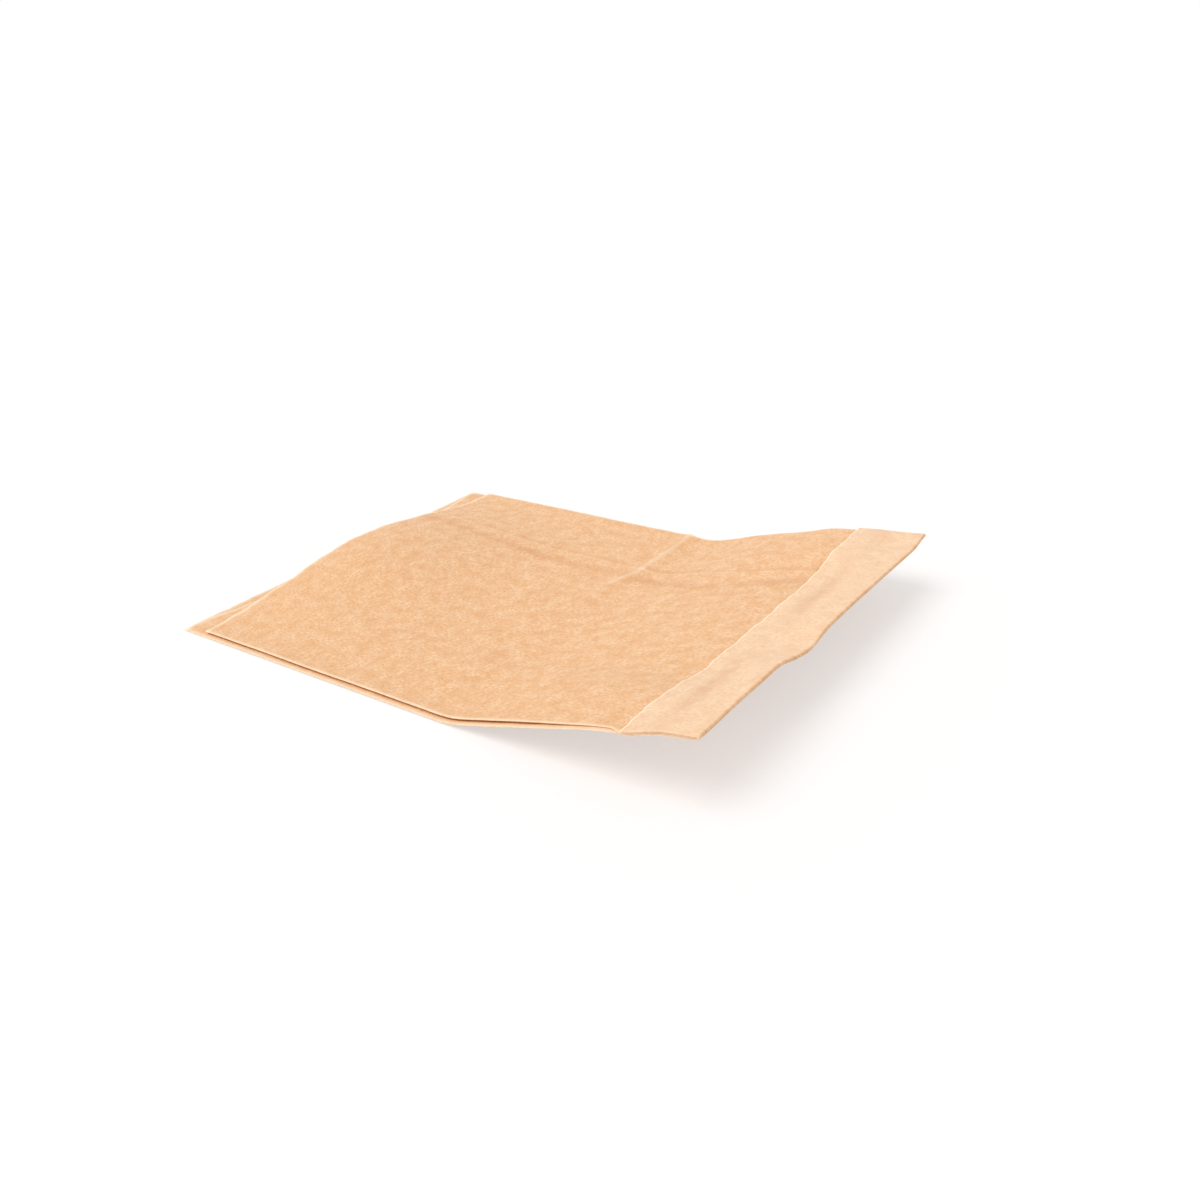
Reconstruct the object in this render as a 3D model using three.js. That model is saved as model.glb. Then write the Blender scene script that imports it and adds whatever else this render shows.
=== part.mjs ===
// A brown paper lunch bag, lying on a table with its bottom end curled up: one sheet folded into a gusseted
// tube, lapped and glued along the front, with that end folded over and glued. One piece, no joints.
import * as THREE from 'three';

// Driving dimensions, in millimetres and degrees
const bagWidth = 152;
const bagLength = 206.5; // from the back panel's mouth edge to the bottom fold
const lip = 10; // the back panel stands this far past the front panel at the mouth
const gussetDepth = 30; // how far each side gusset folds in
const bottomFlap = 23; // the glued bottom end, folded over onto the front panel
const lapSeam = 12; // overlap of the long glued seam in the front panel
const seamRamp = 5.5; // from the far gusset's inner fold to the seam, where one edge dips under the other
const paper = 0.1;
const panelGap = 0.2; // between a panel and the gusset leaf beside it
const gussetGap = 1.1; // between the two leaves of a gusset
const pressedGap = 0.05; // what is left of those gaps in the pressed bottom
const glueLine = 0.1; // between the front panel and the flap glued onto it
const closingRun = 45; // run in which the gaps close, up to the flap
const panelSag = 0.5; // the front panel sinks this much between the gussets
const sagRun = 12; // run in which it sinks, from the inner fold of each gusset

// How the bag lies: the mouth gapes, the middle is creased and the bottom end curls up
const mouthGape = 9;
const gapeRun = 75; // how far in from the front panel's edge the gape reaches
const creaseAt = 112.5; // the crease across the middle, where the bag was once folded in half
const creaseHeight = 0.6; // of its ridge, at the far side
const creaseRun = 5; // half the width of that ridge
const creaseReach = 110; // how far from the far side the ridge dies away
const liftFrom = 113;
const liftRun = 16; // the run of the bend in which the bag leaves the table
const liftAngle = 16;
const easeRun = 15; // just before the flap, the stiffer bottom end bends back a little
const easeAngle = 5.7;
const troughDepth = 2.85; // between the stiff gussets the lifted panel sinks, most of all at the flap's edge
const troughRun = 28; // the run of the trough's two flanks
const troughOverlap = 13; // how far out over each gusset its flank begins
const endTwist = 1.5; // the near corner of the bottom fold stands higher, the far one lower
const endSag = 1.35; // the bottom fold hangs, from this place to the far corner
const endSagFrom = 41;
const endSagRun = 12;
const dentDepth = 1.8; // a dent in the bottom fold
const dentAt = 61;
const dentRun = 9;

// How finely curves are drawn
const lengthStep = 11;
const flapStep = 6;
const acrossStep = 9;
const foldSteps = 3;
const turnSteps = 4;
const arcStep = 0.5;
const rounding = 1e-6;

const flapLine = bagLength - bottomFlap;
const seamFrom = bagWidth - gussetDepth - seamRamp;
const seamTo = seamFrom - lapSeam;
const cutEdge = paper / 2; // the run of a cut edge's own slope, which keeps its corners apart
const innerFoldCut = 0.5; // the lip's cut slants across a gusset, and is half done at its inner fold

function smooth(from, to, value) {
  return THREE.MathUtils.smoothstep(value, from, to);
}

// 1 between two places across the bag and 0 outside them, with flanks of the given run
function plateau(v, from, to, run) {
  return smooth(from, from + run, v) - smooth(to - run, to, v);
}

// The values from first to last, no further apart than step
function spread(first, last, step) {
  const count = Math.max(1, Math.ceil((last - first) / step - rounding));
  const inner = Array.from({ length: count - 1 }, (_, i) => first + ((last - first) * (i + 1)) / count);
  return [first, ...inner, last];
}

// The same through several marks, with no value twice
function spreadThrough(marks, step) {
  const sorted = [...marks].sort((a, b) => a - b);
  const values = [sorted[0]];
  for (const mark of sorted.slice(1)) {
    const last = values[values.length - 1];
    if (mark - last > cutEdge) values.push(...spread(last, mark, step).slice(1));
  }
  return values;
}

// Angle of the bag's long profile above the table, in radians
function profileAngle(s) {
  const lift = liftAngle * smooth(liftFrom, liftFrom + liftRun, s);
  const ease = easeAngle * smooth(flapLine - easeRun, flapLine, s);
  return THREE.MathUtils.degToRad(lift - ease);
}

// The underside's profile: where a point at length s along the bag lies
function profilePoint(s) {
  const inside = Math.min(s, bagLength);
  const steps = spread(0, inside, arcStep);
  let x = 0;
  let z = 0;
  for (let i = 1; i < steps.length; i++) {
    const angle = profileAngle((steps[i - 1] + steps[i]) / 2);
    x += (steps[i] - steps[i - 1]) * Math.cos(angle);
    z += (steps[i] - steps[i - 1]) * Math.sin(angle);
  }
  const angle = profileAngle(inside);
  x += (s - inside) * Math.cos(angle);
  z += (s - inside) * Math.sin(angle);
  return { x, z, angle };
}

// The ridge, trough, twist, sag and dent, which bend all the plies together
function wave(s, v) {
  const crest = creaseHeight * smooth(bagWidth - creaseReach, bagWidth, v);
  const ridge = crest * Math.max(0, 1 - Math.abs(s - creaseAt) / creaseRun);
  const troughFrom = gussetDepth - troughOverlap;
  const trough = troughDepth * plateau(v, troughFrom, bagWidth - troughFrom, troughRun);
  const twist = endTwist * (1 - (2 * v) / bagWidth);
  const sag = endSag * plateau(v, endSagFrom, bagWidth, endSagRun);
  const dent = dentDepth * Math.exp(-(((v - dentAt) / dentRun) ** 2));
  const lifted = smooth(liftFrom, flapLine, s);
  const end = smooth(flapLine, bagLength, s);
  return ridge - (lifted - end) * trough + end * (twist - sag - dent);
}

// A point at length s, v across and h above the underside
function place(s, v, h) {
  const { x, z, angle } = profilePoint(s);
  const rise = h + wave(s, v);
  return new THREE.Vector3(x - rise * Math.sin(angle), v, z + rise * Math.cos(angle));
}

// Heights of the four plies' middles at length s
function plyHeights(s) {
  const closed = smooth(flapLine - closingRun, flapLine, s);
  const panel = paper + THREE.MathUtils.lerp(panelGap, pressedGap, closed);
  const leaf = paper + THREE.MathUtils.lerp(gussetGap, pressedGap, closed);
  const back = paper / 2;
  return { back, lower: back + panel, upper: back + panel + leaf, front: back + 2 * panel + leaf };
}

// How far the front panel stands above its place over the gussets
function frontRise(s, v) {
  const arch = Math.sin((Math.PI * v) / bagWidth) ** 2;
  const gape = mouthGape * (1 - smooth(lip, lip + gapeRun, s)) * arch;
  const sag = panelSag * (1 - smooth(flapLine - closingRun, flapLine, s));
  return gape - sag * plateau(v, gussetDepth, bagWidth - gussetDepth, sagRun);
}

// One ring of the folded tube: each point has its place across and in height, the way its outer side
// faces, half the thickness there, and how much of the lip's cut it takes
function ring(s) {
  const ply = plyHeights(s);
  const points = [];
  const half = paper / 2;
  const add = (v, h, faceV, faceH, cut, outer = half, inner = half) =>
    points.push({ v, h, faceV, faceH, cut, outer, inner });

  const across = spreadThrough(
    [0, gussetDepth, seamTo, seamFrom, bagWidth - gussetDepth, bagWidth], acrossStep);
  const leafAcross = across.filter((v) => v <= gussetDepth);

  // A fold of half a turn, from one height to another, about a point at v
  const fold = (v, from, to, side, facing, cut) => {
    for (let i = 1; i < foldSteps; i++) {
      const turn = Math.PI * (0.5 - i / foldSteps);
      const cos = Math.cos(turn);
      const sin = Math.sin(turn) * Math.sign(from - to);
      const radius = Math.abs(from - to) / 2;
      const middle = (from + to) / 2;
      add(v + side * radius * cos, middle + radius * sin, facing * side * cos, facing * sin, cut);
    }
  };
  const leafCut = (v, share) => share - (innerFoldCut * v) / gussetDepth;

  // The front panel, from the far side to the near side, with the lap seam: the sheet's far edge dips
  // under its near one
  const addFront = (v, outer, inner) => add(v, ply.front + frontRise(s, v), 0, 1, 1, outer, inner);
  for (const v of [...across].reverse()) {
    if (v === seamFrom) {
      addFront(v, half - paper, half + paper);
      addFront(v - cutEdge, half, half + paper);
    } else {
      addFront(v, half, v >= seamTo && v < seamFrom ? half + paper : half);
    }
    if (v === seamTo) addFront(v - cutEdge, half, half);
  }
  fold(0, ply.front, ply.upper, -1, 1, 1);

  // The near gusset: upper leaf in, inner fold, lower leaf out
  for (const v of leafAcross) add(v, ply.upper, 0, -1, leafCut(v, 1));
  fold(gussetDepth, ply.upper, ply.lower, 1, -1, innerFoldCut);
  for (const v of [...leafAcross].reverse()) add(v, ply.lower, 0, 1, leafCut(gussetDepth - v, innerFoldCut));
  fold(0, ply.lower, ply.back, -1, 1, 0);

  // The back panel
  for (const v of across) add(v, ply.back, 0, -1, 0);
  fold(bagWidth, ply.back, ply.lower, 1, 1, 0);

  // The far gusset: lower leaf in, inner fold, upper leaf out
  for (const v of leafAcross) add(bagWidth - v, ply.lower, 0, 1, leafCut(gussetDepth - v, innerFoldCut));
  fold(bagWidth - gussetDepth, ply.lower, ply.upper, -1, -1, innerFoldCut);
  for (const v of [...leafAcross].reverse()) add(bagWidth - v, ply.upper, 0, -1, leafCut(v, 1));
  fold(bagWidth, ply.upper, ply.front, 1, 1, 1);
  return points;
}

// The stations of the sweep: along the body, round the bottom fold and back along the flap
const mouthRun = 4 * lip; // the run in which the front panel's rows even out behind the lip
const creaseMarks = [creaseAt - creaseRun, creaseAt, creaseAt + creaseRun];
const bodyMarks = [0, mouthRun, ...creaseMarks, liftFrom, liftFrom + liftRun].filter((s) => s < flapLine);
const bodyRows = spreadThrough([...bodyMarks, flapLine], lengthStep);
const flapRows = spread(flapLine, bagLength, flapStep);
const stations = [
  ...bodyRows.slice(0, -1).map((s) => ({ s, turn: 0 })),
  ...flapRows.map((s) => ({ s, turn: 0 })),
  ...spread(0, Math.PI, Math.PI / turnSteps).slice(1, -1).map((turn) => ({ s: bagLength, turn })),
  ...[...flapRows].reverse().map((s) => ({ s, turn: Math.PI })),
];

// One side of the paper at a station: the outer skin or the inner skin
function skin(station, side) {
  const { s, turn } = station;
  const axis = plyHeights(bagLength).front + paper / 2 + glueLine / 2;
  return ring(s).map((point) => {
    const reach = side === 'outer' ? point.outer : -point.inner;
    const v = point.v + reach * point.faceV;
    const h = point.h + reach * point.faceH;
    const cut = lip * point.cut * Math.max(0, 1 - s / mouthRun);
    const arm = axis - h;
    return place(s + cut + arm * Math.sin(turn), v, axis - arm * Math.cos(turn));
  });
}

function paperBag() {
  const across = ring(0).map((point) => point.v);
  const size = across.length;
  const outer = stations.map((station) => skin(station, 'outer'));
  const inner = stations.map((station) => skin(station, 'inner'));
  const positions = [...outer, ...inner].flat().flatMap((point) => point.toArray());
  const index = [];
  const outerAt = (row, column) => row * size + (column % size);
  const innerAt = (row, column) => (stations.length + row) * size + (column % size);
  const quad = (a, b, c, d) => index.push(a, b, c, a, c, d);

  // Plies that lie on each other take the same diagonals, so that their facets never cross
  for (let row = 0; row + 1 < stations.length; row++) {
    const onward = stations[row].turn === 0 && stations[row + 1].turn === 0;
    for (let column = 0; column < size; column++) {
      const rising = across[(column + 1) % size] > across[column];
      const corners = [[row, column], [row, column + 1], [row + 1, column + 1], [row + 1, column]];
      if (onward !== rising) corners.push(corners.shift());
      quad(...corners.map(([r, c]) => outerAt(r, c)));
      quad(...[0, 3, 2, 1].map((i) => innerAt(...corners[i])));
    }
  }

  // The cut edges at the mouth and at the end of the flap
  const last = stations.length - 1;
  for (let column = 0; column < size; column++) {
    quad(outerAt(0, column + 1), outerAt(0, column), innerAt(0, column), innerAt(0, column + 1));
    quad(outerAt(last, column), outerAt(last, column + 1), innerAt(last, column + 1), innerAt(last, column));
  }

  const geometry = new THREE.BufferGeometry();
  geometry.setAttribute('position', new THREE.Float32BufferAttribute(positions, 3));
  geometry.setIndex(index);
  geometry.computeVertexNormals();

  // The origin is under the middle of the bag's box
  geometry.computeBoundingBox();
  const middle = geometry.boundingBox.getCenter(new THREE.Vector3());
  geometry.translate(-middle.x, -middle.y, -geometry.boundingBox.min.z);

  const kraft = new THREE.MeshStandardMaterial({ color: 0xd2a574, roughness: 0.75, metalness: 0 });
  const mesh = new THREE.Mesh(geometry, kraft);
  mesh.name = 'paper_bag';
  return mesh;
}

const lunchBag = new THREE.Group();
lunchBag.name = 'lunch_bag';
lunchBag.add(paperBag());

export default lunchBag;
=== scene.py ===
import math

import bpy
import numpy as np
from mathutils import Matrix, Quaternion, Vector


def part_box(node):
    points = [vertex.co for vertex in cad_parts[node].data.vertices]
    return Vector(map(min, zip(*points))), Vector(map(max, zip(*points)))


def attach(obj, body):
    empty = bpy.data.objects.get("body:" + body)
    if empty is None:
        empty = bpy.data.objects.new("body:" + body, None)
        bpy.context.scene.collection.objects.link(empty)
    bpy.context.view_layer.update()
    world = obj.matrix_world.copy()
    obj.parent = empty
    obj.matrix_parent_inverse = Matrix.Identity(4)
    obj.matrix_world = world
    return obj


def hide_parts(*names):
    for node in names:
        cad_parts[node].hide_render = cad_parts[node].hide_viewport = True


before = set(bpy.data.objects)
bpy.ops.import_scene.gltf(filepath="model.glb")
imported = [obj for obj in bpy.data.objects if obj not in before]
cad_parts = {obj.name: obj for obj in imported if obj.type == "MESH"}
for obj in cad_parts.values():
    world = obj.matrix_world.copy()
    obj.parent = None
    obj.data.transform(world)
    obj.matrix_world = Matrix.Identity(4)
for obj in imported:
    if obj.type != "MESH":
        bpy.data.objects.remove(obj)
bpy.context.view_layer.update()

# The bag: one sheet of unbleached greaseproof kraft paper. A bag machine folds it into a tube with a gusset
# in each side and glues the lap along the front. Then the flat tube's bottom end is folded over and glued.
MM = 0.001
bag_width = 152 * MM
bag_length = 206.5 * MM
gusset_depth = 30 * MM
bottom_flap = 23 * MM
flap_line = bag_length - bottom_flap
paper = 0.1 * MM
half = paper / 2
panel_gap = 0.2 * MM
gusset_gap = 0.7 * MM     # between a gusset's two leaves at the side fold, where they stand apart
pinch_run = 7 * MM        # this far in from the side fold the leaves are pinched nearly shut
pinch = 0.85
pressed_gap = 0.05 * MM   # between plies that are pressed together, as all of them are at the flap
closing_run = 45 * MM     # the plies close up over this run before the flap


def smooth(start, end, value):
    """0 up to the start and 1 from the end on, with an even rise between them."""
    t = np.clip((value - start) / (end - start), 0, 1)
    return t * t * (3 - 2 * t)


def plateau(value, start, end, run):
    """1 between two places and 0 outside them, with flanks of the given run."""
    return smooth(start, start + run, value) - smooth(end - run, end, value)


def bell(value, middle, run):
    """1 at the middle, and falling away evenly on both sides of it."""
    return np.exp(-(((value - middle) / run) ** 2))


def ply_heights(s, v):
    """Heights of the middles of the back panel, the gusset's lower and upper leaf and the front panel."""
    closed = smooth(flap_line - closing_run, flap_line, s)
    pinched = smooth(0, pinch_run, np.minimum(v, bag_width - v))
    panel = paper + panel_gap + (pressed_gap - panel_gap) * closed
    leaf = paper + pressed_gap + (gusset_gap - pressed_gap) * (1 - closed) * (1 - pinch * pinched)
    back = half + 0 * leaf
    return np.stack([back, back + panel, back + panel + leaf, back + 2 * panel + leaf], axis=-1)


# The ring of the folded tube, point by point. Each has its place across, the two plies it lies between and
# its share of the second, its bulge, the way it faces, its share of the lip's cut and the paper each side.
BACK, LOWER, UPPER, FRONT = range(4)
lap_seam = 12 * MM
seam_ramp = 5.5 * MM
seam_from = bag_width - gusset_depth - seam_ramp
seam_to = seam_from - lap_seam
cut_edge = paper / 2   # the run of the step at a cut edge of the lap
swell_run = 4 * MM
half_cut = 0.5
fold_steps = 5
across_step = 1.6 * MM
seam_step = 0.8 * MM
leaf_step = 2.5 * MM
ring = []


def spread(marks, step):
    """The values through all the marks, no further apart than the step."""
    runs = [np.linspace(a, b, 1 + math.ceil((b - a) / step)) for a, b in zip(marks, marks[1:])]
    return np.concatenate([run[:-1] for run in runs] + [[marks[-1]]])


def fold(v, start, end, side, facing, cut):
    """Half a turn of the ring from one ply to another, which bulges to one side."""
    for i in range(1, fold_steps):
        turn = math.pi * (0.5 - i / fold_steps)
        sine = math.sin(turn)
        cosine = side * math.cos(turn)
        upright = sine if start > end else -sine
        ring.append((v, start, end, (1 - sine) / 2, cosine / 2, facing * cosine, facing * upright, cut,
                     half, half))


def flat_ply(ply, places, facing, cuts):
    """A run of the ring along one ply, whose outer side faces up or down."""
    ring.extend((v, ply, ply, 0, 0, 0, facing, cut, half, half) for v, cut in zip(places, cuts))


across = spread([0, gusset_depth, bag_width - gusset_depth, bag_width], across_step)
by_seam = spread([seam_to - swell_run, seam_to, seam_from, seam_from + seam_ramp], seam_step)
off_seam = across[(across < by_seam[0] - cut_edge) | (across > by_seam[-1] + cut_edge)]
near_leaf = spread([0, gusset_depth], leaf_step)
far_leaf = bag_width - near_leaf[::-1]
leaf_cut = half_cut * near_leaf / gusset_depth
for v in np.sort(np.concatenate([off_seam, by_seam]))[::-1]:
    lapped = seam_to - cut_edge < v < seam_from + cut_edge
    under = half + paper if lapped else half
    if abs(v - seam_from) < cut_edge:
        ring.append((v + cut_edge, FRONT, FRONT, 0, 0, 0, 1, 1, half - paper, under))
    ring.append((v, FRONT, FRONT, 0, 0, 0, 1, 1, half, under))
    if abs(v - seam_to) < cut_edge:
        ring.append((v - cut_edge, FRONT, FRONT, 0, 0, 0, 1, 1, half, half))
fold(0, FRONT, UPPER, -1, 1, 1)
flat_ply(UPPER, near_leaf, -1, 1 - leaf_cut)
fold(gusset_depth, UPPER, LOWER, 1, -1, half_cut)
flat_ply(LOWER, near_leaf[::-1], 1, leaf_cut[::-1])
fold(0, LOWER, BACK, -1, 1, 0)
flat_ply(BACK, across, -1, 0 * across)
fold(bag_width, BACK, LOWER, 1, 1, 0)
flat_ply(LOWER, far_leaf[::-1], 1, leaf_cut)
fold(bag_width - gusset_depth, LOWER, UPPER, -1, -1, half_cut)
flat_ply(UPPER, far_leaf, -1, 1 - leaf_cut[::-1])
fold(bag_width, UPPER, FRONT, 1, 1, 1)
(ring_v, first_ply, second_ply, second_share, bulge,
 facing_v, facing_h, cut_share, outer_reach, inner_reach) = np.array(ring).T
first_ply = first_ply.astype(int)
second_ply = second_ply.astype(int)
in_front = (first_ply == FRONT) & (second_ply == FRONT)

# The rows run along the body, round the bottom fold and back along the flap, closer where the paper bends
lip = 10 * MM
mouth_run = 4 * lip
rim = 0.35 * MM
crease_at = 112.5 * MM
crease_run = 5 * MM
flat_step = 3 * MM
crease_step = 0.8 * MM
lifted_step = 1.3 * MM
turn_steps = 6
flat_rows = spread([0, rim, mouth_run, crease_at - crease_run], flat_step)
crease_rows = spread([crease_at - crease_run, crease_at, crease_at + crease_run], crease_step)
lifted_rows = spread([crease_at + crease_run, flap_line], lifted_step)
flap_rows = spread([flap_line, flap_line + rim, flap_line + 2 * rim, bag_length], lifted_step)
body_rows = np.concatenate([flat_rows[:-1], crease_rows[:-1], lifted_rows[:-1], flap_rows])
turns = np.linspace(0, math.pi, turn_steps + 1)[1:-1]
end_rows = np.full(len(turns), bag_length)
row_s = np.concatenate([body_rows, end_rows, flap_rows[::-1]])[:, None]
row_turn = np.concatenate([0 * body_rows, turns, np.full(len(flap_rows), math.pi)])[:, None]
row_path = np.concatenate([body_rows, end_rows, 2 * bag_length - flap_rows[::-1]])

# The front panel gapes at the mouth, sinks between the gussets, and swells where the seam laps
mouth_gape = 9 * MM
gape_run = 75 * MM
panel_sag = 0.5 * MM
sag_run = 12 * MM
seam_swell = 0.25 * MM
swell_end = 14 * MM
lap_bow = 5 * MM


def lap_edge(s):
    """Where the lap's hidden edge shows through, which bows towards the bag's middle."""
    return seam_to + lap_bow * (1 - plateau(s, crease_at, flap_line, (flap_line - crease_at) / 2))


def front_rise(s, v):
    """How far the front panel stands above its flat place."""
    gape = mouth_gape * (1 - smooth(lip, lip + gape_run, s)) * np.sin(np.pi * v / bag_width) ** 2
    sag = panel_sag * (1 - smooth(flap_line - closing_run, flap_line, s))
    swell = seam_swell * (1 - smooth(flap_line - swell_end, flap_line, s))
    lapped = smooth(-swell_run, 0, v - lap_edge(s)) * (1 - smooth(seam_from, seam_from + seam_ramp, v))
    return gape - sag * plateau(v, gusset_depth, bag_width - gusset_depth, sag_run) + swell * lapped


# All the plies lie together: a crease across the middle, a trough between the stiff gussets of the lifted
# end, and a twist, a sag and a dent in the bottom fold
crease_height = 0.6 * MM
crease_reach = 110 * MM
crease_bend = 4 * MM
crease_bend_from = 100 * MM
crease_bend_to = 116 * MM
lift_from = 113 * MM
trough_depth = 2.85 * MM
trough_run = 28 * MM
trough_from = gusset_depth - 13 * MM
end_twist = 1.5 * MM
end_sag = 1.35 * MM
end_sag_from = 41 * MM
end_sag_run = 12 * MM
dent_depth = 1.8 * MM
dent_at = 61 * MM
dent_run = 9 * MM


def crease_line(v):
    """The crease runs straight across from the far side, and bends towards the mouth beyond the seam."""
    return crease_at - crease_bend * (1 - smooth(crease_bend_from, crease_bend_to, v))


def lie(s, v):
    """How far all the plies stand above the long profile together."""
    crest = crease_height * smooth(bag_width - crease_reach, bag_width, v)
    ridge = crest * np.maximum(0, 1 - np.abs(s - crease_line(v)) / crease_run)
    trough = trough_depth * plateau(v, trough_from, bag_width - trough_from, trough_run)
    twist = end_twist * (1 - 2 * v / bag_width)
    sag = end_sag * plateau(v, end_sag_from, bag_width, end_sag_run)
    dent = dent_depth * bell(v, dent_at, dent_run)
    end = smooth(flap_line, bag_length, s)
    return ridge - (smooth(lift_from, flap_line, s) - end) * trough + end * (twist - sag - dent)


# The finer unevenness: humps and dips along the two long edges, the sharp top of the crease, short wrinkles
# in the panel, and the groove that the folding machine pressed along the flap
groove_at = 193 * MM
groove_sway = 0.8 * MM
groove_wave = 9 * MM
droop_depth = 0.45 * MM
droop_from = 182 * MM
droop_width = 22 * MM


def groove_line(v):
    """The groove runs across the flap, a little wavy."""
    return groove_at + groove_sway * np.sin(v / groove_wave)


def wrinkle(s, v, at, height, run, start, end, fade, slope=0):
    """A ridge or dip at a place along the bag, which fades at its two ends across. Sizes in millimetres."""
    ridge = bell(s - slope * v, at * MM, run * MM)
    return height * MM * ridge * plateau(v, start * MM, end * MM, fade * MM)


def wrinkles(s, v):
    """All of them together. One that runs off the bag has its end past the bag's side."""
    far_dip = wrinkle(s, v, at=128, height=-0.6, run=13, start=100, end=252, fade=50)
    far_hump = wrinkle(s, v, at=173, height=0.75, run=8, start=100, end=252, fade=50)
    near_hump = wrinkle(s, v, at=196, height=0.6, run=6, start=-44, end=22, fade=22)
    near_dip = wrinkle(s, v, at=186, height=-0.3, run=3, start=-44, end=22, fade=22)
    bend = wrinkle(s, v, at=129.5, height=-0.3, run=2.6, start=70, end=138, fade=20)
    short = wrinkle(s, v, at=136, height=-0.35, run=1.5, start=2, end=26, fade=6)
    slant = wrinkle(s, v, at=152.3, height=-0.25, run=1.5, start=1, end=20, fade=6, slope=0.28)
    sharp = wrinkle(s - crease_line(v), v, at=0, height=0.28, run=1.6, start=92, end=180, fade=12)
    groove = wrinkle(s - groove_line(v), v, at=0, height=-0.3, run=3, start=6, end=144, fade=10)
    droop = droop_depth * smooth(droop_from, bag_length, s) * (1 - smooth(0, droop_width, v))
    return far_dip + far_hump + near_hump + near_dip + bend + short + slant + sharp + groove - droop


def ragged(v):
    """The sway of a knife cut across the sheet: three waves, each with its height, run and start."""
    waves = ((0.24 * MM, 3.1 * MM, 1), (0.16 * MM, 1.3 * MM, 0), (0.1 * MM, 0.6 * MM, 2))
    return sum(height * np.sin(v / run + start) for height, run, start in waves)


# Both skins of the sheet, before it is laid along its profile: s along the bag, v across it and h up
near_inset = 1.6 * MM   # before the flap, the front panel's near fold lies this far inside the back panel's
inset_run = 4 * MM
glue_line = 0.1 * MM
sway_run = 6 * MM
heights = ply_heights(row_s, ring_v)
point = np.arange(len(ring))
first_h = heights[:, point, first_ply]
second_h = heights[:, point, second_ply]
inset_share = np.clip(1 - ring_v / gusset_depth, 0, 1) * (np.minimum(first_ply, second_ply) >= UPPER)
inset = near_inset * inset_share * (1 - smooth(flap_line - inset_run, flap_line, row_s))
middle_v = ring_v + inset + bulge * np.abs(first_h - second_h)
middle_h = first_h + (second_h - first_h) * second_share + in_front * front_rise(row_s, middle_v)
fold_axis = heights[-1, 0, FRONT] + half + glue_line / 2
to_cut = np.where(row_turn == 0, row_s, row_s - flap_line) + 0 * middle_v
to_cut = np.where((row_turn > 0) & (row_turn < math.pi), bottom_flap, to_cut)
lip_cut = lip * cut_share * np.maximum(0, 1 - row_s / mouth_run)
sway = ragged(middle_v) * np.clip(1 - to_cut / sway_run, 0, 1)
skins = []
for reach in (outer_reach, -inner_reach):
    v = middle_v + reach * facing_v
    arm = fold_axis - (middle_h + reach * facing_h)
    s = row_s + lip_cut + sway + arm * np.sin(row_turn)
    h = fold_axis - arm * np.cos(row_turn)
    on_bag = np.minimum(s, bag_length)
    skins.append(np.stack([s, v - bag_width / 2, h + lie(on_bag, v) + wrinkles(on_bag, v)], axis=-1))

# Faces of the outer skin, of the inner skin and of the two cut ends, with the sheet's own UV map in metres
sharp_angle = math.radians(50)
row_count, ring_count = len(row_path), len(ring)
skin_size = row_count * ring_count
steps = np.hypot(np.diff(middle_v[0], append=middle_v[0, 0]), np.diff(middle_h[0], append=middle_h[0, 0]))
sheet_u = np.concatenate([[0], np.cumsum(steps)])
rows, cols = np.meshgrid(np.arange(row_count - 1), np.arange(ring_count), indexing="ij")
corner_rows = np.stack([rows, rows, rows + 1, rows + 1], axis=-1).reshape(-1, 4)
corner_cols = np.stack([cols, cols + 1, cols + 1, cols], axis=-1).reshape(-1, 4)
outer_faces = corner_rows * ring_count + corner_cols % ring_count
outer_uv = np.stack([sheet_u[corner_cols], row_path[corner_rows]], axis=-1)
faces = [outer_faces, outer_faces[:, ::-1] + skin_size]
face_uv = [outer_uv, outer_uv[:, ::-1]]
pair = np.stack([np.arange(ring_count), np.arange(ring_count) + 1], axis=-1)
for row, order in ((0, -1), (row_count - 1, 1)):
    edge = pair[:, ::order]
    edge_ids = row * ring_count + edge % ring_count
    faces.append(np.concatenate([edge_ids, edge_ids[:, ::-1] + skin_size], axis=1))
    edge_u = sheet_u[np.concatenate([edge, edge[:, ::-1]], axis=1)]
    face_uv.append(np.stack([edge_u, np.full_like(edge_u, row_path[row])], axis=-1))
faces = np.concatenate(faces)
sheet = bpy.data.meshes.new("folded_sheet")
sheet.from_pydata(np.concatenate(skins).reshape(-1, 3).tolist(), [], faces.tolist())
sheet.uv_layers.new(name="Sheet").data.foreach_set("uv", np.concatenate(face_uv).astype(np.float32).ravel())
sheet.polygons.foreach_set("use_smooth", np.ones(len(faces), dtype=bool))
sheet.set_sharp_from_angle(angle=sharp_angle)

# What marks the sheet: pale along its cuts, partly bare fibres and partly painted highlight of the lit cut
# edge; painted highlight along the lap's cut edge, the crease top and the folds at its sides; paste soaked
# in along the lap's hidden edge; painted shade beside the lap's cut edge; a darker band along the flap's
# groove, partly paste soaked in and partly painted shade; and the flap, painted paler as painted light and
# sheen
# width of the pale band along a cut: partly bare fibres, partly painted highlight
pale_cut_width = 0.7 * MM
# painted highlight along the lap's cut edge
seam_highlight = 0.45
# painted highlight along the top of the crease: its share, run and where it comes in across
crease_highlight_share = 0.38
crease_highlight_run = 1.9 * MM
crease_highlight_from = 94 * MM
crease_highlight_full = 102 * MM
# painted highlight along the folds at the sides: its share and run
fold_highlight_share = 0.55
fold_highlight_run = 0.9 * MM
hidden_paste = 0.5
hidden_run = 2.6 * MM
# painted shade beside the lap's cut edge: its share, run and distance from the edge
painted_seam_shade = 0.3
seam_shade_run = 1.3 * MM
seam_shade_off = 1.6 * MM
flap_run = 3 * MM


def uneven(place, wave, start, least, most):
    """A share that swings between two values along a glue line."""
    return (least + most) / 2 + (most - least) / 2 * np.sin(place / wave + start)


# The flap, which is also where the paper is painted paler, as painted light and sheen
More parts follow.
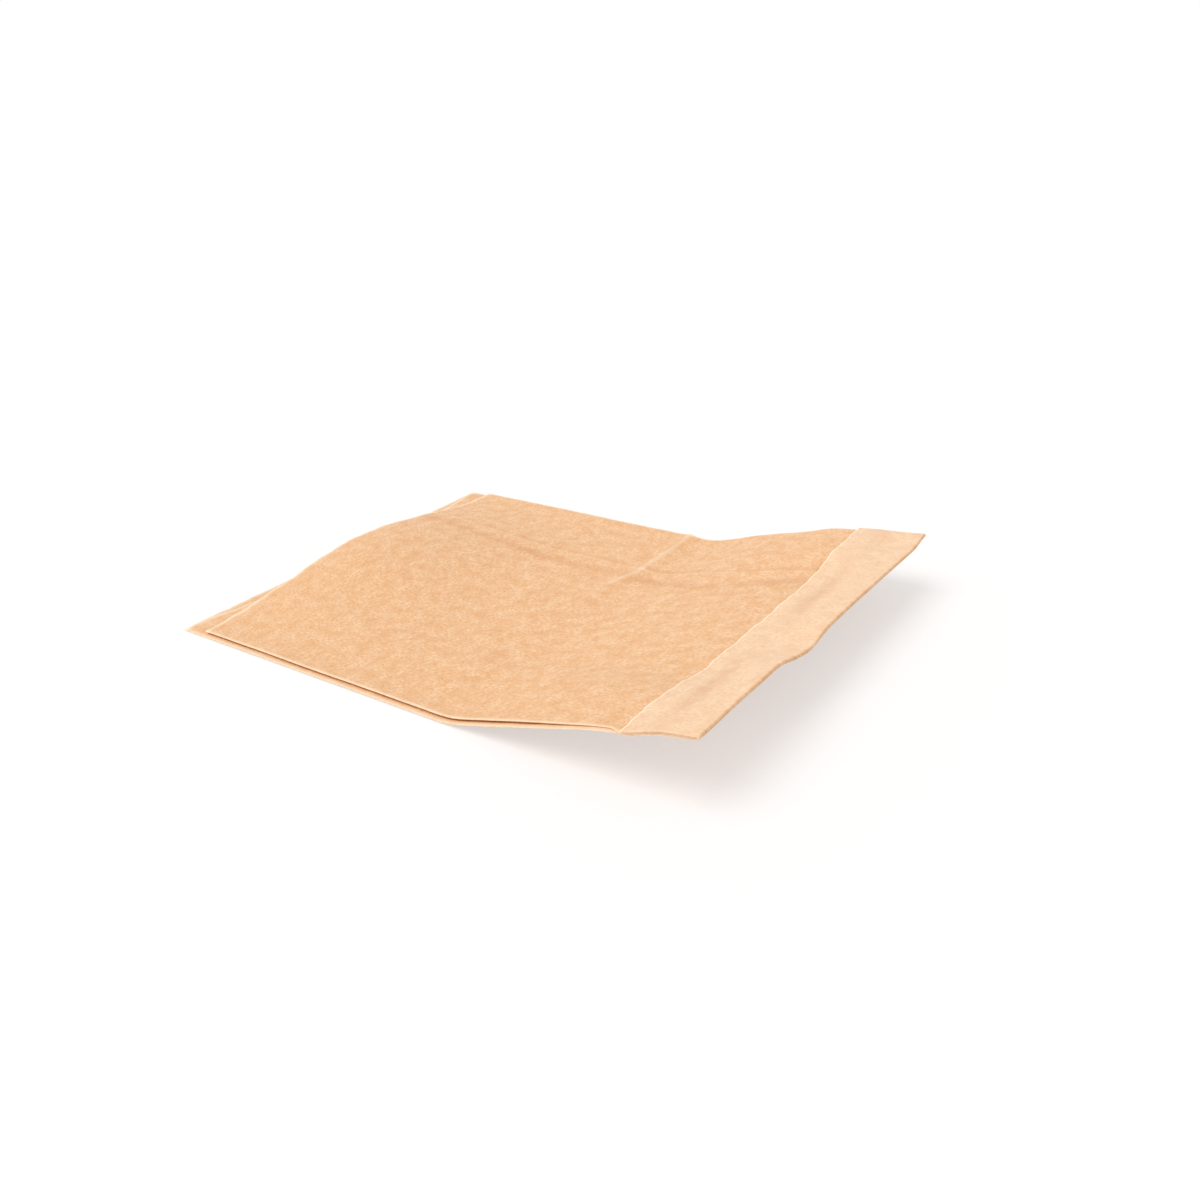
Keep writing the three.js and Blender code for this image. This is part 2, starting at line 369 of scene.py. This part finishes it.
on_flap = (row_turn == math.pi) + 0 * middle_v
# Painted highlight along the lap's cut edge
seam_edge = np.clip(1 - (seam_from - middle_v) / pale_cut_width, 0, 1) * (middle_v <= seam_from)
# Painted highlight along the lit top of the crease
crease_highlight = bell(row_s, crease_line(middle_v), crease_highlight_run) * smooth(crease_highlight_from, crease_highlight_full, middle_v)
# Painted highlight along the folds at the sides, but not on the flap
fold_highlight = bell(np.minimum(ring_v, bag_width - ring_v), 0, fold_highlight_run) * (1 - on_flap)
# Pale along the cuts: partly bare fibres, partly painted highlight of the lit cut edge
bare_and_highlit = np.clip(1 - to_cut / pale_cut_width, 0, 1) + fold_highlight_share * fold_highlight
bare_and_highlit = bare_and_highlit + in_front * (seam_highlight * seam_edge + crease_highlight_share * crease_highlight)
# Paste soaked in along the lap's hidden edge, and painted shade beside the lap's cut edge
lap_paste_and_shade = hidden_paste * bell(middle_v, lap_edge(row_s), hidden_run)
lap_paste_and_shade = lap_paste_and_shade + painted_seam_shade * bell(middle_v, seam_from + seam_shade_off, seam_shade_run)
lap_paste_and_shade = lap_paste_and_shade * uneven(row_s, wave=9 * MM, start=0.5, least=0.5, most=1)
# Darker along the flap's groove: partly paste soaked in, partly painted shade of the groove
flap_paste_and_shade = bell(row_s, groove_line(middle_v), flap_run)
flap_paste_and_shade = flap_paste_and_shade * uneven(middle_v, wave=11 * MM, start=-1, least=0.04, most=0.44)
# Paste and painted shade together
paste_and_shade = in_front * lap_paste_and_shade * (1 - on_flap) + on_flap * flap_paste_and_shade
sheet_marks = {"bare_and_highlit": bare_and_highlit, "paste_and_shade": paste_and_shade, "flap_painted_light": on_flap}
for name, mark in sheet_marks.items():
    layer = sheet.attributes.new(name, "FLOAT", "POINT")
    layer.data.foreach_set("value", np.concatenate([mark, mark]).astype(np.float32).ravel())

# Greaseproof kraft: long unbleached softwood fibres, beaten hard and calendered to a soft gloss. Its colour
# is a cloudy tan with a fine grain along the sheet and dark shives. Over it lie the marks above: pale
# fibres and painted highlights, paste and painted shade, and the flap's painted light.
kraft = bpy.data.materials.new("greaseproof_kraft_paper")
kraft.use_nodes = True
shader = kraft.node_tree
shader.nodes.clear()


def linear(hex_colour):
    """An sRGB hex colour as linear RGBA."""
    parts = [int(hex_colour[i:i + 2], 16) / 255 for i in (1, 3, 5)]
    return tuple(c / 12.92 if c <= 0.04045 else ((c + 0.055) / 1.055) ** 2.4 for c in parts) + (1,)


def add(tree, kind, inputs, **settings):
    """Adds a node with its settings, and links or sets its inputs."""
    node = tree.nodes.new(kind)
    for name, value in settings.items():
        setattr(node, name, value)
    for socket, source in inputs.items():
        if isinstance(source, bpy.types.NodeSocket):
            tree.links.new(source, node.inputs[socket])
        else:
            node.inputs[socket].default_value = source
    return node.outputs


drawn = {}
for name in sheet_marks:
    drawn[name] = add(shader, "ShaderNodeAttribute", {}, attribute_name=name)["Fac"]
# Each pattern's size across and along the sheet in mm. Single fibres are too fine to show, so the grain is
# drawn coarser than they are.
sheet_uv = add(shader, "ShaderNodeUVMap", {}, uv_map="Sheet")["UV"]
for name, across_mm, along_mm, detail in (("clouds", 4.6, 5.8, 2),
                                          ("grain", 0.75, 1.4, 3),
                                          ("shives", 0.7, 1.2, 1)):
    stretched = add(shader, "ShaderNodeMapping",
                    {"Vector": sheet_uv, "Scale": (1 / (across_mm * MM), 1 / (along_mm * MM), 1)})["Vector"]
    drawn[name] = add(shader, "ShaderNodeTexNoise",
                      {"Vector": stretched, "Scale": 1, "Detail": detail, "Roughness": 0.6})["Fac"]
# Pale fibres and painted highlights, broken up by the grain
drawn["frayed_and_highlit"] = add(shader, "ShaderNodeMath", {0: drawn["bare_and_highlit"], 1: drawn["grain"]},
                      operation="MULTIPLY")["Value"]
# Each layer of colour: what draws it, the values between which it comes in, its most share and its colour
colour = linear("#F5CCA2")
for name, low, high, most, tint in (("clouds", 0.34, 0.68, 0.85, "#E4AF7D"),
                                    ("grain", 0.36, 0.7, 0.9, "#DAA471"),
                                    ("shives", 0.62, 0.74, 0.55, "#BB8554"),
                                    # painted light and sheen, which make the flap paler
                                    ("flap_painted_light", 0, 1, 0.28, "#FFEED6"),
                                    # paste, and painted shade beside the lap's cut edge and in the flap's
                                    # groove
                                    ("paste_and_shade", 0, 1, 0.6, "#BE7A48"),
                                    # pale fibres, and painted highlights on the cuts, the folds, the lap's
                                    # edge and the crease
                                    ("frayed_and_highlit", 0.1, 0.45, 0.95, "#FFEFD6")):
    share = add(shader, "ShaderNodeMapRange",
                {"Value": drawn[name], "From Min": low, "From Max": high, "To Max": most})["Result"]
    colour = add(shader, "ShaderNodeMix", {"Factor": share, "A": colour, "B": linear(tint)},
                 data_type="RGBA")["Result"]
gloss = add(shader, "ShaderNodeMapRange", {"Value": drawn["clouds"], "From Min": 0.3, "From Max": 0.7,
                                           "To Min": 0.45, "To Max": 0.6})["Result"]
relief = add(shader, "ShaderNodeMath", {0: drawn["clouds"], 1: drawn["grain"]}, operation="ADD")["Value"]
bumps = add(shader, "ShaderNodeBump", {"Height": relief, "Strength": 1, "Distance": 0.02 * MM})["Normal"]
surface = add(shader, "ShaderNodeBsdfPrincipled",
              {"Base Color": colour, "Roughness": gloss, "Normal": bumps, "IOR": 1.45})["BSDF"]
add(shader, "ShaderNodeOutputMaterial", {"Surface": surface})

# The long profile that the bag follows: flat on the table to the crease, then curling up to the bottom
lift_run = 16 * MM
lift_angle = math.radians(16)
ease_run = 15 * MM
ease_angle = math.radians(5.7)
past_end = 3 * MM
profile_count = 420
bag_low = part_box("paper_bag")[0]
profile_s = np.linspace(0, bag_length + past_end, profile_count)
between = np.minimum((profile_s[1:] + profile_s[:-1]) / 2, bag_length)
slope = (lift_angle * smooth(lift_from, lift_from + lift_run, between)
         - ease_angle * smooth(flap_line - ease_run, flap_line, between))
profile_x = bag_low.x + np.concatenate([[0], np.cumsum(np.diff(profile_s) * np.cos(slope))])
profile_z = bag_low.z + np.concatenate([[0], np.cumsum(np.diff(profile_s) * np.sin(slope))])
profile_points = np.stack([profile_x, 0 * profile_x, profile_z, 0 * profile_x + 1], axis=-1)
profile_curve = bpy.data.curves.new("long_profile", "CURVE")
profile_curve.dimensions = "3D"
spline = profile_curve.splines.new("POLY")
spline.points.add(profile_count - 1)
spline.points.foreach_set("co", profile_points.astype(np.float32).ravel())
profile = bpy.data.objects.new("long_profile", profile_curve)
bpy.context.collection.objects.link(profile)

# The folded sheet is laid along that profile, with the slight cockling of handled paper
lay = bpy.data.node_groups.new("lay_along_profile", "GeometryNodeTree")
lay_inputs = {}
for name, kind in (("Sheet", "Geometry"), ("Profile", "Object"), ("Cockle height", "Float"),
                   ("Cockle size", "Float"), ("Seed", "Float"), ("Paper", "Material")):
    socket = lay.interface.new_socket(name, in_out="INPUT", socket_type="NodeSocket" + kind)
    lay_inputs[name] = socket.identifier
lay.interface.new_socket("Bag", in_out="OUTPUT", socket_type="NodeSocketGeometry")
given = add(lay, "NodeGroupInput", {})
flat = add(lay, "ShaderNodeSeparateXYZ", {"Vector": add(lay, "GeometryNodeInputPosition", {})["Position"]})
on_sheet = add(lay, "ShaderNodeCombineXYZ", {"X": flat["X"], "Y": flat["Y"]})["Vector"]
per_metre = add(lay, "ShaderNodeMath", {0: 1, 1: given["Cockle size"]}, operation="DIVIDE")["Value"]
cockle = add(lay, "ShaderNodeTexNoise",
             {"Vector": on_sheet, "W": given["Seed"], "Scale": per_metre, "Detail": 2},
             noise_dimensions="4D")["Fac"]
rise = add(lay, "ShaderNodeMath", {0: cockle, 1: given["Cockle height"], 2: flat["Z"]},
           operation="MULTIPLY_ADD")["Value"]
path = add(lay, "GeometryNodeObjectInfo", {"Object": given["Profile"]})["Geometry"]
along = add(lay, "GeometryNodeSampleCurve", {"Curves": path, "Length": flat["X"]}, mode="LENGTH")
tangent = add(lay, "ShaderNodeSeparateXYZ", {"Vector": along["Tangent"]})
backward = add(lay, "ShaderNodeMath", {0: tangent["Z"], 1: -1}, operation="MULTIPLY")["Value"]
upward = add(lay, "ShaderNodeCombineXYZ", {"X": backward, "Z": tangent["X"]})["Vector"]
raised = add(lay, "ShaderNodeVectorMath", {0: upward, "Scale": rise}, operation="SCALE")["Vector"]
sideways = add(lay, "ShaderNodeCombineXYZ", {"Y": flat["Y"]})["Vector"]
centred = add(lay, "ShaderNodeVectorMath", {0: along["Position"], 1: sideways}, operation="ADD")["Vector"]
laid = add(lay, "ShaderNodeVectorMath", {0: centred, 1: raised}, operation="ADD")["Vector"]
moved = add(lay, "GeometryNodeSetPosition", {"Geometry": given["Sheet"], "Position": laid})["Geometry"]
whole = add(lay, "GeometryNodeRealizeInstances", {"Geometry": moved})["Geometry"]
dressed = add(lay, "GeometryNodeSetMaterial", {"Geometry": whole, "Material": given["Paper"]})["Geometry"]
add(lay, "NodeGroupOutput", {"Bag": dressed})

folded = bpy.data.objects.new("folded_sheet", sheet)
bpy.context.collection.objects.link(folded)
laying = folded.modifiers.new("lay_along_profile", "NODES")
laying.node_group = lay
for name, value in (("Profile", profile), ("Cockle height", 0.75 * MM), ("Cockle size", 30 * MM),
                    ("Seed", 4.0), ("Paper", kraft)):
    laying[lay_inputs[name]] = value
graph = bpy.context.evaluated_depsgraph_get()
bag_mesh = bpy.data.meshes.new_from_object(folded.evaluated_get(graph), preserve_all_data_layers=True,
                                           depsgraph=graph)
bag_mesh.name = "paper_bag_sheet"
bag = bpy.data.objects.new("paper_bag_sheet", bag_mesh)
bpy.context.collection.objects.link(bag)
bpy.data.objects.remove(folded)
bpy.data.objects.remove(profile)
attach(bag, "root")
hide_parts("paper_bag")

# The table: a matt board of warm white, wide enough to fill the view. It keeps the bag's soft shadow, and
# a little glow, which is seen but hardly lights the bag, lifts the rest of it to plain white.
half_board = 6.0
glow_most = 0.55
board = bpy.data.meshes.new("white_table")
corners = [(-half_board, -half_board, 0), (half_board, -half_board, 0),
           (half_board, half_board, 0), (-half_board, half_board, 0)]
board.from_pydata(corners, [], [(0, 1, 2, 3)])
floor = bpy.data.objects.new("white_table", board)
bpy.context.collection.objects.link(floor)
white = bpy.data.materials.new("matt_white_board")
white.use_nodes = True
table = white.node_tree
table.nodes.clear()


def seen_directly(tree):
    """1 for the camera's own rays and for their mirrored and passed-on rays, and 0 for the rest."""
    ray = add(tree, "ShaderNodeLightPath", {})
    seen = ray["Is Camera Ray"]
    for name in ("Is Glossy Ray", "Is Transmission Ray"):
        seen = add(tree, "ShaderNodeMath", {0: seen, 1: ray[name]}, operation="MAXIMUM")["Value"]
    return seen


matt = add(table, "ShaderNodeBsdfDiffuse", {"Color": linear("#FBF7F5")})["BSDF"]
glow = add(table, "ShaderNodeEmission", {"Color": linear("#FFFFFF"), "Strength": 1})["Emission"]
glow_share = add(table, "ShaderNodeMath", {0: seen_directly(table), 1: glow_most},
                 operation="MULTIPLY")["Value"]
both = add(table, "ShaderNodeMixShader", {"Fac": glow_share, 1: matt, 2: glow})["Shader"]
add(table, "ShaderNodeOutputMaterial", {"Surface": both})
board.materials.append(white)

# The light: an even white room, and a wide soft lamp above the camera's left shoulder. The room looks plain
# white, but lights the bag less than that.
room_light = 0.6
room_seen = 1.0
lamp_heading = Vector((0.25, 0.38, -0.89))
world = bpy.data.worlds.new("white_room")
world.use_nodes = True
bpy.context.scene.world = world
room = world.node_tree
room.nodes.clear()
room_level = add(room, "ShaderNodeMapRange",
                 {"Value": seen_directly(room), "To Min": room_light, "To Max": room_seen})["Result"]
backdrop = add(room, "ShaderNodeBackground",
               {"Color": linear("#FFFFFF"), "Strength": room_level})["Background"]
add(room, "ShaderNodeOutputWorld", {"Surface": backdrop})
lamp = bpy.data.lights.new("soft_lamp", "SUN")
lamp.energy = 1.8
lamp.angle = math.radians(45)
lamp_object = bpy.data.objects.new("soft_lamp", lamp)
lamp_object.rotation_euler = lamp_heading.to_track_quat("-Z", "Y").to_euler()
bpy.context.collection.objects.link(lamp_object)

# The camera: the photograph's viewing angle, near the table and looking over the bag's lifted end
camera_place = Vector((214.7, -269.3, 167.7)) * MM
azimuth = math.radians(35.91)
elevation = math.radians(25.61)
roll = math.radians(-2.93)
level = math.cos(elevation)
look = Vector((-math.sin(azimuth) * level, math.cos(azimuth) * level, -math.sin(elevation)))
lens = bpy.data.cameras.new("camera")
lens.sensor_width = 36
lens.lens = 33.23
camera = bpy.data.objects.new("camera", lens)
camera.location = camera_place
camera.rotation_mode = "QUATERNION"
camera.rotation_quaternion = look.to_track_quat("-Z", "Y") @ Quaternion((0, 0, 1), roll)
bpy.context.collection.objects.link(camera)
bpy.context.scene.camera = camera
bpy.context.scene.view_settings.view_transform = "Standard"
